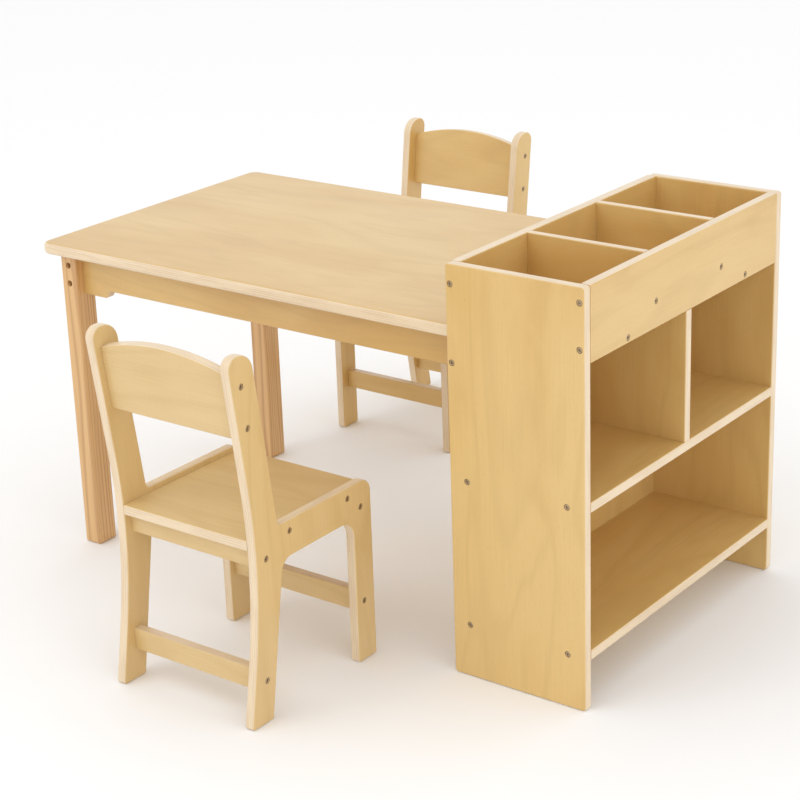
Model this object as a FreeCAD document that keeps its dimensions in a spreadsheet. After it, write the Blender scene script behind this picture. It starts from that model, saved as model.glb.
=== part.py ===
"""Children's craft table with a storage unit at one end, and two chairs.

Millimetres, +Z up.  +X runs along the table towards the storage unit, +Y across it.  The origin is
on the floor, in the middle of the whole set.  The near chair stands on the -Y side and faces +Y,
the far chair stands on the +Y side and faces -Y.  Boards are plywood, the table legs are pine.
"""
import FreeCAD, Part
import math
import os
import re
import Sketcher

V = FreeCAD.Vector
UP = V(0, 0, 1)

os.makedirs("parts", exist_ok=True)
doc = FreeCAD.newDocument("craft_table_and_chairs")

# ---------------------------------------------------------------- driving dimensions
DIMENSIONS = {
    # the whole set
    "ply": 15,
    "set_length": 1000,
    "near_gap": 30,
    "far_gap": 130,
    # table
    "table_height": 508,
    "top_thick": 18,
    "top_corner": 18,
    "top_round": 5,
    "leg_wide": 32,
    "leg_deep": 38,
    "leg_end_inset": 23,
    "leg_side_inset": 20,
    "leg_round": 3,
    "leg_chamfer": 2,
    "apron_high": 55,
    "apron_setback": 16,
    "ear_drop": 12,
    "ear_long": 50,
    "cleat_size": 14,
    "cleat_long": 70,
    # storage unit
    "unit_high": 600,
    "unit_deep": 215,
    "unit_wide": 540,
    "tray_high": 105,
    "rear_board_high": 166,
    "middle_shelf_top": 302,
    "bottom_shelf_top": 87,
    "partition_thick": 12,
    "back_thick": 5,
    "groove_deep": 5,
    "panel_corner": 5,
    "edge_round": 2,
    # chair, measured back from the front legs' front edge and up from the floor
    "chair_wide": 252,
    "chair_high": 529,
    "side_top": 274,
    "seat_top": 266,
    "seat_long": 242,
    "seat_start": 5,
    "front_leg": 41,
    "arch_top": 222,
    "rear_foot": 44,
    "foot_end": 273.5,
    "lower_sweep": 0.17,
    "post_lean": 0.133,
    "post_wide": 46,
    "back_bend": 844,
    "back_inset": 11,
    "back_bottom": 412,
    "back_top": 520,
    "back_arch": 18,
    "inner_sweep": 0.163,
    "foot_round": 4,
    "front_top_round": 20,
    "seat_end_round": 8,
    "post_front_round": 28,
    "post_rear_round": 16,
    "arch_front_round": 26,
    "arch_rear_round": 22,
    "stretcher_high": 32,
    "front_stretcher_z": 76,
    "rear_stretcher_z": 46,
    "front_rail_centre": 24,
    "rear_rail_centre": 227,
    "rear_stretcher_centre": 239,
    "near_chair_x": 32,
    "far_chair_x": -316,
    # fasteners: panel screws, leg bolts with barrel nuts, and the cleats' small screws
    "screw_head_radius": 4.5,
    "screw_head_thick": 3.5,
    "screw_radius": 2.5,
    "screw_long": 45,
    "screw_socket": 2.2,
    "screw_sink": 0.5,
    "bolt_head_radius": 5,
    "bolt_head_thick": 5,
    "bolt_radius": 3,
    "bolt_long": 62,
    "bolt_socket": 2.6,
    "bolt_sink": 6,
    "small_head_radius": 4,
    "small_head_thick": 2.5,
    "small_radius": 1.9,
    "small_long": 24,
    "small_socket": 1.6,
    "small_sink": 0.5,
    "socket_deep": 2,
    "nut_radius": 5,
    "nut_long": 12,
    "nut_from_tip": 8,
    "fit_gap": 0.05,
    # where the fasteners go
    "side_bolt_high": 19,
    "side_bolt_low": 48,
    "end_bolt_high": 9,
    "end_bolt_low": 33,
    "board_bolt_high": 14,
    "board_bolt_low": 40,
    "cleat_screw_shift": 20,
    "shelf_screw_inset": 28,
    "tray_screw_inset": 21,
    "partition_screw_up": 38,
    "divider_screw_rear": 65,
    "divider_screw_front": 165,
    "seat_screw_front": 52,
    "seat_screw_rear": 177,
    "back_screw_low": 428,
    "back_screw_high": 487,
}

sheet = doc.addObject("Spreadsheet::Sheet", "dims")
for row, (word, value) in enumerate(DIMENSIONS.items(), start=1):
    sheet.set(f"A{row}", word)
    sheet.set(f"B{row}", str(value))
    sheet.setAlias(f"B{row}", word)
doc.recompute()


def size(word):
    """A driving dimension read back from the sheet."""
    return float(sheet.get(word))


def swapped(text, change):
    """text with every alias in it changed by change(word)."""
    return re.sub(r"[a-z_]+", lambda found: change(found.group()), text)


def formula(text):
    """text as an expression: every alias gets the sheet's name in front."""
    return swapped(text, lambda word: f"dims.{word}")


def number(text):
    """The value of such a text, in millimetres."""
    return FreeCAD.Units.parseQuantity(swapped(text, lambda word: f"({size(word)})")).Value


# ---------------------------------------------------------------- where the assemblies stand
# The frame's origin is the middle of the set, so the table sits a little towards the near chair.
UNIT_X = "set_length / 2 - unit_deep"
TABLE_X = "-set_length / 2"
TABLE_LONG = "set_length - unit_deep"
MIDDLE_Y = "(near_gap - far_gap) / 2"
UNIT_Y = f"{MIDDLE_Y} - unit_wide / 2"
TABLE_Y = f"{UNIT_Y} + ply"
TABLE_WIDE = "unit_wide - 2 * ply"
FRAME = (("0", "0", "0"), 1)
NEAR_CHAIR = (("near_chair_x", f"{TABLE_Y} - near_gap", "0"), -1)
FAR_CHAIR = (("far_chair_x", f"{TABLE_Y} + {TABLE_WIDE} + far_gap", "0"), 1)


def place(obj, spot, stand, tilt=0.0):
    """Binds an object's position: spot in the assembly's own frame, which is turned half round
    about Z when its sign is -1.  tilt leans it back about its own X axis, in degrees."""
    base, sign = stand
    for axis, origin, offset in zip("xyz", base, spot):
        turn = "-" if sign < 0 and axis != "z" else "+"
        obj.setExpression(f"Placement.Base.{axis}", formula(f"{origin} {turn} ({offset})"))
    half_turn = FreeCAD.Rotation(UP, 180 if sign < 0 else 0)
    obj.Placement.Rotation = half_turn.multiply(FreeCAD.Rotation(V(1, 0, 0), tilt))


# ---------------------------------------------------------------- sketches
PLANES = {"XY": ("XY_Plane", False), "XZ": ("XZ_Plane", True), "YZ": ("YZ_Plane", False)}


def new_body(name):
    body = doc.addObject("PartDesign::Body", name)
    body.Label = name
    return body


def new_sketch(body, plane, name):
    """A sketch on one of the body's own origin planes."""
    role = PLANES[plane][0]
    support = [f for f in body.Origin.OriginFeatures if f.Role == role][0]
    sketch = body.newObject("Sketcher::SketchObject", name)
    sketch.AttachmentSupport = [(support, "")]
    sketch.MapMode = "FlatFace"
    return sketch


def rectangle(sketch, wide, high):
    """A rectangle from the sketch's origin, its two sizes bound to the sheet."""
    w, h = number(wide), number(high)
    corners = [V(0, 0, 0), V(w, 0, 0), V(w, h, 0), V(0, h, 0)]
    for start, end in zip(corners, corners[1:] + corners[:1]):
        sketch.addGeometry(Part.LineSegment(start, end), False)
    for side in range(4):
        sketch.addConstraint(Sketcher.Constraint("Coincident", side, 2, (side + 1) % 4, 1))
    for side, kind in enumerate(("Horizontal", "Vertical", "Horizontal", "Vertical")):
        sketch.addConstraint(Sketcher.Constraint(kind, side))
    sketch.addConstraint(Sketcher.Constraint("Coincident", 0, 1, -1, 1))
    across = sketch.addConstraint(Sketcher.Constraint("DistanceX", 0, 1, 0, 2, w))
    upward = sketch.addConstraint(Sketcher.Constraint("DistanceY", 1, 1, 1, 2, h))
    sketch.setExpression(f"Constraints[{across}]", formula(wide))
    sketch.setExpression(f"Constraints[{upward}]", formula(high))


def outline(sketch, corners):
    """A closed outline through corners (u, v, radius), each rounded by an arc of its radius."""
    count = len(corners)
    joints = []
    for i, (u, v, radius) in enumerate(corners):
        here = V(u, v, 0)
        if not radius:
            joints.append((here, here, here, 0))
            continue
        back = (V(*corners[i - 1][:2], 0) - here).normalize()
        ahead = (V(*corners[(i + 1) % count][:2], 0) - here).normalize()
        half = back.getAngle(ahead) / 2
        reach = radius / math.tan(half)
        inner = here + (back + ahead).normalize() * (radius / math.sin(half))
        middle = inner + (here - inner).normalize() * radius
        joints.append((here + back * reach, middle, here + ahead * reach, radius))
    for i, (start, middle, end, radius) in enumerate(joints):
        if radius:
            sketch.addGeometry(Part.Arc(start, middle, end), False)
        following = joints[(i + 1) % count][0]
        if (following - end).Length > 0.01:
            sketch.addGeometry(Part.LineSegment(end, following), False)


def pad(body, sketch, plane, length):
    """Pads a sketch towards the positive side of its plane."""
    solid = body.newObject("PartDesign::Pad", sketch.Name + "_pad")
    solid.Profile = sketch
    solid.Reversed = PLANES[plane][1]
    solid.setExpression("Length", formula(length))
    sketch.Visibility = False
    return solid


def pocket(body, plane, name, draw, spot, length):
    """Cuts a rectangle of its own sketch, moved to spot, into the body."""
    sketch = new_sketch(body, plane, name)
    rectangle(sketch, *draw)
    for axis, value in zip("xyz", spot):
        sketch.setExpression(f"AttachmentOffset.Base.{axis}", formula(value))
    before = volume(body)
    cut = body.newObject("PartDesign::Pocket", name + "_cut")
    cut.Profile = sketch
    cut.setExpression("Length", formula(length))
    if volume(body) > before - 1:
        cut.Reversed = True
    if volume(body) > before - 1:
        raise RuntimeError(f"{name} cuts nothing")


def volume(body):
    body.recompute(True)
    return body.Shape.Volume


def soften(body, radius, keep, kind="Fillet"):
    """Rounds or chamfers the edges of the body's last feature that keep(edge) picks."""
    body.recompute(True)
    base = body.Tip
    names = [f"Edge{i + 1}" for i, edge in enumerate(base.Shape.Edges) if keep(edge)]
    feature = body.newObject(f"PartDesign::{kind}", f"{body.Name}_{kind.lower()}_{len(names)}")
    feature.Base = (base, names)
    feature.setExpression("Radius" if kind == "Fillet" else "Size", formula(radius))
    body.recompute(True)
    return feature


def span(edge, axis):
    """The least and greatest place of an edge along X, Y or Z."""
    box = edge.BoundBox
    return getattr(box, axis + "Min"), getattr(box, axis + "Max")


def runs_along(axis):
    """Picks straight edges that run along an axis."""
    def test(edge):
        ends = edge.Vertexes
        if len(ends) < 2:
            return False
        way = ends[1].Point - ends[0].Point
        return way.Length > 1 and abs(abs(way.normalize().dot(axis)) - 1) < 1e-6
    return test


def lies_flat(axis):
    """Picks the edges of the faces square to an axis: the rims of a board."""
    def test(edge):
        low, high = span(edge, axis)
        return high - low < 1e-6
    return test


def both(*tests):
    return lambda edge: all(test(edge) for test in tests)


def edge_at(axis, value):
    """Picks the edges that lie wholly at one height, width or depth."""
    return lambda edge: all(abs(end - value) < 1e-4 for end in span(edge, axis))


def beyond(axis, value):
    """Picks the edges that lie wholly past a place along X, Y or Z."""
    return lambda edge: span(edge, axis)[0] > value


def board(name, plane, sizes, spot, stand=FRAME):
    """A rectangular board: a rectangle on a plane, padded, then placed in its assembly."""
    body = new_body(name)
    sketch = new_sketch(body, plane, name + "_outline")
    rectangle(sketch, sizes[0], sizes[1])
    pad(body, sketch, plane, sizes[2])
    place(body, spot, stand)
    body.recompute(True)
    return body


# ---------------------------------------------------------------- fasteners
HOLE_MOUTH = 1.0


def fastener_shape(head_radius, head_thick, radius, length, socket):
    """A socket-head screw along -Z with the top of its head at the origin."""
    head = Part.makeCylinder(head_radius, head_thick, V(0, 0, -head_thick))
    shank = Part.makeCylinder(radius, length - head_thick, V(0, 0, -length))
    deep = size("socket_deep")
    turns = [math.radians(60 * corner) for corner in range(7)]
    hexagon = Part.makePolygon([V(socket * math.cos(t), socket * math.sin(t), -deep) for t in turns])
    recess = Part.Face(hexagon).extrude(V(0, 0, 2 * deep))
    return head.fuse(shank).cut(recess).removeSplitter()


def hole_shape(head_radius, head_thick, radius, length, sink):
    """The stepped hole for such a screw, a little wider, and open above the surface."""
    gap = size("fit_gap")
    well = Part.makeCylinder(head_radius + gap, head_thick + sink + HOLE_MOUTH, V(0, 0, -head_thick))
    thin = Part.makeCylinder(radius + gap, length - head_thick + gap, V(0, 0, -length - gap))
    return well.fuse(thin).removeSplitter()


def set_down(shape, point, turn):
    """A copy of a shape, turned and moved to a point."""
    copy = shape.copy()
    copy.Placement = FreeCAD.Placement(point, turn)
    return copy


class Fastening:
    """One kind of screw, the places that it is used at, and the holes that it needs."""

    def __init__(self, kind):
        sizes = [size(f"{kind}_{word}") for word in ("head_radius", "head_thick", "radius", "long")]
        self.long = sizes[3]
        self.sink = size(f"{kind}_sink")
        self.screw = fastener_shape(*sizes, size(f"{kind}_socket"))
        self.hole = hole_shape(*sizes, self.sink)
        self.places = []

    def add(self, point, way):
        """point is on the board's surface, way points out of it.  Returns the tip of the screw."""
        point, way = V(*point), V(*way)
        self.places.append((point - way * self.sink, FreeCAD.Rotation(UP, way)))
        return point - way * (self.sink + self.long)

    def screws(self):
        return [set_down(self.screw, point, turn) for point, turn in self.places]

    def holes(self):
        return [set_down(self.hole, point, turn) for point, turn in self.places]


class BarrelNuts:
    """Round nuts that lie across a bolt near its tip, each in a blind hole in a board's face."""

    def __init__(self):
        radius, long, gap = size("nut_radius"), size("nut_long"), size("fit_gap")
        thread = Part.makeCylinder(size("bolt_radius") + gap, 4 * radius, V(-2 * radius, 0, 0), V(1, 0, 0))
        self.nut = Part.makeCylinder(radius, long, V(0, 0, -long / 2)).cut(thread)
        deep = long / 2 + gap
        self.hole = Part.makeCylinder(radius + gap, deep + size("ply") / 2 + HOLE_MOUTH, V(0, 0, -deep))
        self.places = []

    def add(self, tip, bolt_way, mouth_way):
        """tip is the bolt's tip, bolt_way points back to its head, mouth_way out of the nut's hole."""
        middle = tip + V(*bolt_way) * size("nut_from_tip")
        self.places.append((middle, FreeCAD.Rotation(V(*bolt_way), V(), V(*mouth_way), "ZXY")))

    def nuts(self):
        return [set_down(self.nut, point, turn) for point, turn in self.places]

    def holes(self):
        return [set_down(self.hole, point, turn) for point, turn in self.places]


def group(name, shapes, stand=FRAME):
    """Identical loose pieces kept together as one sub-part of separate solids."""
    feature = doc.addObject("Part::Feature", name)
    feature.Label = name
    feature.Shape = Part.makeCompound(shapes)
    place(feature, ("0", "0", "0"), stand)
    feature.recompute()
    return feature


def bored(body, holes):
    """The board with those of the holes cut that reach it.  The finished piece takes its name."""
    box = body.Shape.BoundBox
    reaching = [hole for hole in holes if hole.BoundBox.intersect(box)]
    if not reaching:
        return body
    name = body.Label
    body.Label = name + "_blank"
    tool = doc.addObject("Part::Feature", name + "_holes")
    tool.Shape = Part.makeCompound(reaching)
    cut = doc.addObject("Part::Cut", name + "_bored")
    cut.Base = body
    cut.Tool = tool
    cut.Label = name
    return cut


PIECES = []


# ---------------------------------------------------------------- table
LEG_X = f"{TABLE_X} + leg_end_inset"
LEG_Y = {"front": f"{TABLE_Y} + leg_side_inset",
         "rear": f"{TABLE_Y} + {TABLE_WIDE} - leg_side_inset - leg_deep"}
APRON_Y = {"front": f"{LEG_Y['front']} + apron_setback",
           "rear": f"{LEG_Y['rear']} + leg_deep - apron_setback - ply"}
APRON_Z = "table_height - top_thick - apron_high"


def table_top():
    body = new_body("table_top")
    sketch = new_sketch(body, "XY", "table_top_outline")
    long, wide, corner = number(TABLE_LONG), number(TABLE_WIDE), size("top_corner")
    outline(sketch, [(0, 0, corner), (long, 0, 0), (long, wide, 0), (0, wide, corner)])
    pad(body, sketch, "XY", "top_thick")
    place(body, (TABLE_X, TABLE_Y, "table_height - top_thick"), FRAME)
    soften(body, "top_round", both(lies_flat("Z"), lambda edge: not edge_at("X", long)(edge)))
    return body


def table_leg(name, y):
    body = board(name, "XY", ("leg_wide", "leg_deep", "table_height - top_thick"),
                 (LEG_X, y, "0"))
    soften(body, "leg_round", runs_along(UP))
    soften(body, "leg_chamfer", edge_at("Z", 0), "Chamfer")
    return body


def long_apron(name, y):
    """A rail under the long side, deeper beside the leg, with a rounded end to the deep part."""
    body = new_body(name)
    sketch = new_sketch(body, "XZ", name + "_outline")
    long = number(f"{TABLE_LONG} - leg_end_inset - leg_wide")
    high, drop, ear = size("apron_high"), size("ear_drop"), size("ear_long")
    outline(sketch, [
        (0, -drop, 0),
        (ear, -drop, drop * 0.6),
        (ear, 0, drop / 3),
        (long, 0, 0),
        (long, high, 0),
        (0, high, 0),
    ])
    pad(body, sketch, "XZ", "ply")
    place(body, (f"{LEG_X} + leg_wide", y, APRON_Z), FRAME)
    soften(body, "edge_round", both(lies_flat("Y"), lambda edge: edge.BoundBox.ZMax < 1))
    return body


def end_apron():
    """The short rail between the legs, in the middle of their width."""
    sizes = ("ply", f"{TABLE_WIDE} - 2 * leg_side_inset - 2 * leg_deep", "apron_high")
    spot = (f"{LEG_X} + leg_wide / 2 - ply / 2", f"{LEG_Y['front']} + leg_deep", APRON_Z)
    return board("end_apron", "XY", sizes, spot)


def table():
    """Top, two pine legs, three aprons, the bolts that hold them, and the cleats under the top."""
    boards = [table_top(), end_apron()]
    boards += [table_leg(f"{side}_leg", LEG_Y[side]) for side in LEG_Y]
    boards += [long_apron(f"{side}_apron", APRON_Y[side]) for side in APRON_Y]
    bolts, nuts = Fastening("bolt"), BarrelNuts()
    leg_x = number(LEG_X)
    middle_x = leg_x + size("leg_wide") / 2
    board_x = number(f"{UNIT_X} + ply")
    under = number("table_height - top_thick")
    for side, out in (("front", -1), ("rear", 1)):
        leg_face = number(LEG_Y[side]) + (size("leg_deep") if out > 0 else 0)
        apron_y = number(APRON_Y[side]) + size("ply") / 2
        for height in ("high", "low"):
            rows = [((middle_x, leg_face), "side", (0, out, 0), (1, 0, 0)),
                    ((leg_x, apron_y), "end", (-1, 0, 0), (0, -out, 0)),
                    ((board_x, apron_y), "board", (1, 0, 0), (0, -out, 0))]
            for (x, y), where, way, mouth in rows:
                tip = bolts.add((x, y, under - size(f"{where}_bolt_{height}")), way)
                nuts.add(tip, way, mouth)
    cleats, cleat_screws = table_cleats(under)
    boards.append(group("top_cleats", cleats))
    holes = bolts.holes() + nuts.holes() + cleat_screws.holes()
    PIECES.extend(bored(body, holes) for body in boards)
    PIECES.append(group("leg_bolts", bolts.screws()))
    PIECES.append(group("barrel_nuts", nuts.nuts()))
    PIECES.append(group("cleat_screws", cleat_screws.screws()))
    return holes


def table_cleats(under):
    """Glued blocks inside the long aprons, each with one screw up into the top."""
    small, long = size("cleat_size"), size("cleat_long")
    screws = Fastening("small")
    start, end = number(f"{LEG_X} + leg_wide"), number(UNIT_X)
    edges = {"front": number(f"{APRON_Y['front']} + ply"), "rear": number(APRON_Y["rear"]) - small}
    cleats = []
    for y in edges.values():
        for share in (0.2, 0.5, 0.8):
            x = start + (end - start) * share
            cleats.append(Part.makeBox(long, small, small, V(x - long / 2, y, under - small)))
            screws.add((x + size("cleat_screw_shift"), y + small / 2, under - small), (0, 0, -1))
    return cleats, screws


# ---------------------------------------------------------------- storage unit
GROOVE_LOW = "bottom_shelf_top - ply"
GROOVE_HIGH = "unit_high - rear_board_high"


def side_panel(name, y, inner_face):
    """A full-height side with rounded corners and a groove for the back panel in its inner face,
    which is at y = ply on the near panel and at y = 0 on the far one."""
    body = new_body(name)
    sketch = new_sketch(body, "XZ", name + "_outline")
    deep, high, corner = size("unit_deep"), size("unit_high"), size("panel_corner")
    outline(sketch, [(0, 0, corner), (deep, 0, corner), (deep, high, corner), (0, high, corner)])
    pad(body, sketch, "XZ", "ply")
    place(body, (UNIT_X, y, "0"), FRAME)
    soften(body, "edge_round", lies_flat("Y"))
    pocket(body, "XZ", name + "_groove", ("back_thick", f"{GROOVE_HIGH} - ({GROOVE_LOW})"),
           ("ply - back_thick", GROOVE_LOW, f"-({inner_face})"), "groove_deep")
    return body


def storage_unit(table_holes):
    """Side panels, tray with two partitions, divider, two shelves, and a thin back in grooves."""
    inside_y = f"{UNIT_Y} + ply"
    inside = "unit_wide - 2 * ply"
    inside_x = f"{UNIT_X} + ply"
    shelf_deep = "unit_deep - ply"
    tray_deep = "unit_deep - 2 * ply"
    tray_z = "unit_high - tray_high"
    front = number(shelf_deep) - 1
    lengthwise = runs_along(V(0, 1, 0))
    boards = [side_panel("near_side_panel", UNIT_Y, "ply"),
              side_panel("far_side_panel", f"{UNIT_Y} + unit_wide - ply", "0")]

    def add(name, sizes, spot, rounded=None):
        body = board(name, "XZ", sizes, spot)
        if rounded:
            soften(body, "edge_round", rounded)
        boards.append(body)

    add("tray_front_board", ("ply", "tray_high", inside), (f"{UNIT_X} + {shelf_deep}", inside_y, tray_z),
        lengthwise)
    add("tray_rear_board", ("ply", "rear_board_high", inside), (UNIT_X, inside_y, GROOVE_HIGH),
        both(lengthwise, beyond("Z", 1)))
    add("tray_floor", (tray_deep, "ply", inside), (inside_x, inside_y, tray_z))
    for name, share in (("near", "1 / 3"), ("far", "2 / 3")):
        spot = (inside_x, f"{UNIT_Y} + unit_wide * {share} - partition_thick / 2", f"{tray_z} + ply")
        add(f"tray_partition_{name}", (tray_deep, "tray_high - ply", "partition_thick"), spot,
            both(runs_along(V(1, 0, 0)), beyond("Z", 1)))
    add("shelf_divider", (shelf_deep, f"{tray_z} - middle_shelf_top", "ply"),
        (inside_x, f"{UNIT_Y} + unit_wide / 2 - ply / 2", "middle_shelf_top"),
        both(runs_along(UP), beyond("X", front)))
    for name in ("middle", "bottom"):
        add(f"{name}_shelf", (shelf_deep, "ply", inside), (inside_x, inside_y, f"{name}_shelf_top - ply"),
            both(lengthwise, beyond("X", front)))
    back = board("back_panel", "XZ",
                 ("back_thick - 2 * fit_gap", f"{GROOVE_HIGH} - ({GROOVE_LOW}) - 2 * fit_gap",
                  f"{inside} + 2 * groove_deep - 2 * fit_gap"),
                 (f"{inside_x} - back_thick + fit_gap", f"{inside_y} - groove_deep + fit_gap",
                  f"{GROOVE_LOW} + fit_gap"))
    screws = storage_screws()
    holes = screws.holes() + table_holes
    PIECES.extend(bored(body, holes) for body in boards)
    PIECES.append(back)
    PIECES.append(group("storage_screws", screws.screws()))


def storage_screws():
    """Screws through both sides into every board, through the tray's long boards into its floor
    and partitions, and through the tray floor and the middle shelf into the divider."""
    screws = Fastening("screw")
    ply, high, deep, wide = size("ply"), size("unit_high"), size("unit_deep"), size("unit_wide")
    left, near = number(UNIT_X), number(UNIT_Y)
    tray = high - size("tray_high")
    inset, tray_inset = size("shelf_screw_inset"), size("tray_screw_inset")
    rows = [(ply / 2, high - inset), (ply / 2, high - size("rear_board_high") + inset),
            (deep - ply / 2, high - tray_inset), (deep - ply / 2, tray + tray_inset)]
    for name in ("middle", "bottom"):
        rows += [(x, size(f"{name}_shelf_top") - ply / 2) for x in (inset, deep - inset)]
    for x, z in rows:
        screws.add((left + x, near, z), (0, -1, 0))
        screws.add((left + x, near + wide, z), (0, 1, 0))
    for x, way in ((deep, 1), (0, -1)):
        for share, z in ((1 / 3, tray + size("partition_screw_up")), (0.2, tray + ply / 2)):
            for y in (wide * share, wide * (1 - share)):
                screws.add((left + x, near + y, z), (way, 0, 0))
    for x in (size("divider_screw_rear"), size("divider_screw_front")):
        screws.add((left + x, near + wide / 2, tray + ply), (0, 0, 1))
        screws.add((left + x, near + wide / 2, size("middle_shelf_top") - ply), (0, 0, -1))
    return screws


# ---------------------------------------------------------------- chairs
def post_rear(z):
    """How far back the rear edge of the leaning post is, at a height."""
    low, up = size("lower_sweep"), size("post_lean")
    bend = size("back_bend") * (1 / math.cos((math.atan(low) + math.atan(up)) / 2) - 1)
    waist = size("seat_start") + size("seat_long") - bend
    waist_z = (size("foot_end") - waist) / low
    return waist + up * (z - waist_z)


def chair_side(name, x, stand):
    """One side: front leg, arch, rear leg that sweeps back, and the leaning back post."""
    body = new_body(name)
    sketch = new_sketch(body, "YZ", name + "_outline")
    low, up, wide = size("lower_sweep"), size("post_lean"), size("post_wide")
    foot_end, foot_start = size("foot_end"), size("foot_end") - size("rear_foot")
    high, top = size("chair_high"), size("side_top")
    across = wide * math.sqrt(1 + up ** 2)
    waist_z = (foot_end - post_rear(0)) / (low + up)
    waist = foot_end - low * waist_z
    arch = size("arch_top")
    front = size("front_leg")
    foot = size("foot_round")
    outline(sketch, [
        (0, 0, foot),
        (0, top, size("front_top_round")),
        (post_rear(top) - across, top, size("seat_end_round")),
        (post_rear(high) - across, high, size("post_front_round")),
        (post_rear(high), high, size("post_rear_round")),
        (waist, waist_z, size("back_bend")),
        (foot_end, 0, foot),
        (foot_start, 0, foot),
        (foot_start - size("inner_sweep") * arch, arch, size("arch_rear_round")),
        (front, arch, size("arch_front_round")),
        (front, 0, foot),
    ])
    pad(body, sketch, "YZ", "ply")
    place(body, (x, "0", "0"), stand)
    soften(body, "edge_round", lies_flat("X"))
    return body


CHAIR_INSIDE = "chair_wide - 2 * ply"
CHAIR_LEFT = "ply - chair_wide / 2"


def chair(side, stand):
    """Two sides, seat, backrest, two rails, two stretchers, and the screws through the sides."""
    boards = [chair_side(f"{side}_chair_side_a", "-chair_wide / 2", stand),
              chair_side(f"{side}_chair_side_b", "chair_wide / 2 - ply", stand),
              backrest(f"{side}_chair_backrest", stand)]
    rail_high = "seat_top - ply - arch_top"
    bars = (("seat", "seat_long", "ply", "seat_start", "seat_top - ply"),
            ("front_rail", "ply", rail_high, "front_rail_centre - ply / 2", "arch_top"),
            ("rear_rail", "ply", rail_high, "rear_rail_centre - ply / 2", "arch_top"),
            ("front_stretcher", "ply", "stretcher_high", "front_rail_centre - ply / 2", "front_stretcher_z"),
            ("rear_stretcher", "ply", "stretcher_high", "rear_stretcher_centre - ply / 2",
             "rear_stretcher_z"))
    for part, deep, high, y, z in bars:
        body = board(f"{side}_chair_{part}", "XY", (CHAIR_INSIDE, deep, high), (CHAIR_LEFT, y, z), stand)
        soften(body, "edge_round", runs_along(V(1, 0, 0)))
        boards.append(body)
    screws = chair_screws()
    holes = group(f"{side}_chair_holes", screws.holes(), stand).Shape.Solids
    PIECES.extend(bored(body, holes) for body in boards)
    PIECES.append(group(f"{side}_chair_screws", screws.screws(), stand))


def chair_screws():
    """Eight screws through each side, two into each end of seat and backrest, one into each end
    of the rails and stretchers."""
    screws = Fastening("screw")
    ply, half = size("ply"), size("chair_wide") / 2
    seat_z = size("seat_top") - ply / 2
    rail_z = (size("seat_top") - ply + size("arch_top")) / 2
    back_z = (size("back_screw_low"), size("back_screw_high"))
    spots = [(post_rear(z) - size("back_inset") - ply / 2, z) for z in back_z]
    spots += [(size("seat_screw_front"), seat_z), (size("seat_screw_rear"), seat_z)]
    spots += [(size(f"{end}_rail_centre"), rail_z) for end in ("front", "rear")]
    middle = size("stretcher_high") / 2
    spots += [(size("front_rail_centre"), size("front_stretcher_z") + middle),
              (size("rear_stretcher_centre"), size("rear_stretcher_z") + middle)]
    for y, z in spots:
        screws.add((-half, y, z), (-1, 0, 0))
        screws.add((half, y, z), (1, 0, 0))
    return screws


def backrest(name, stand):
    """A board with an arched top, leaning with the posts."""
    body = new_body(name)
    sketch = new_sketch(body, "XZ", name + "_outline")
    lean = math.atan(size("post_lean"))
    wide = number(CHAIR_INSIDE)
    high = number("back_top - back_bottom") / math.cos(lean)
    shoulder = high - size("back_arch")
    corners = [V(0, shoulder, 0), V(0, 0, 0), V(wide, 0, 0), V(wide, shoulder, 0)]
    for start, end in zip(corners, corners[1:]):
        sketch.addGeometry(Part.LineSegment(start, end), False)
    sketch.addGeometry(Part.Arc(corners[3], V(wide / 2, high, 0), corners[0]), False)
    pad(body, sketch, "XZ", "ply")
    across = size("ply") / math.cos(lean)
    front = post_rear(size("back_bottom")) - size("back_inset") - across
    place(body, (CHAIR_LEFT, str(front), "back_bottom"), stand, -math.degrees(lean))
    upright = runs_along(UP)
    soften(body, "edge_round", both(lies_flat("Y"), lambda edge: not upright(edge)))
    return body


# ---------------------------------------------------------------- build, check and write
table_holes = table()
storage_unit(table_holes)
chair("near", NEAR_CHAIR)
chair("far", FAR_CHAIR)
doc.recompute()

for obj in doc.Objects:
    if "Invalid" in obj.State or "Error" in obj.State:
        raise RuntimeError(f"{obj.Label} did not recompute: {obj.State}")
for piece in PIECES:
    if piece.Shape.isNull() or not piece.Shape.isValid() or not piece.Shape.Solids:
        raise RuntimeError(f"{piece.Label} has no sound shape")
for piece in PIECES:
    piece.Shape.exportStep(f"parts/{piece.Label}.step")
print(len(PIECES), "sub-parts written")
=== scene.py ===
"""Looks for a children's craft table with a storage unit and two small chairs.

Laid out as an add-on.  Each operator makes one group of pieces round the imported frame: boards are
surfaces worked out with numpy from the boxes of the frame's nodes, and every surface gets a
node-based wood or metal material.  Lengths are metres in the frame's own axes: +Z up, +X along the
table towards the storage unit, +Y from the near chair to the far chair.
"""

import bpy
import math
import numpy as np
from bpy.props import FloatProperty, FloatVectorProperty, IntProperty, PointerProperty
from bpy.types import Operator, Panel, PropertyGroup
from mathutils import Euler, Matrix, Vector
from mathutils.geometry import delaunay_2d_cdt


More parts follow.
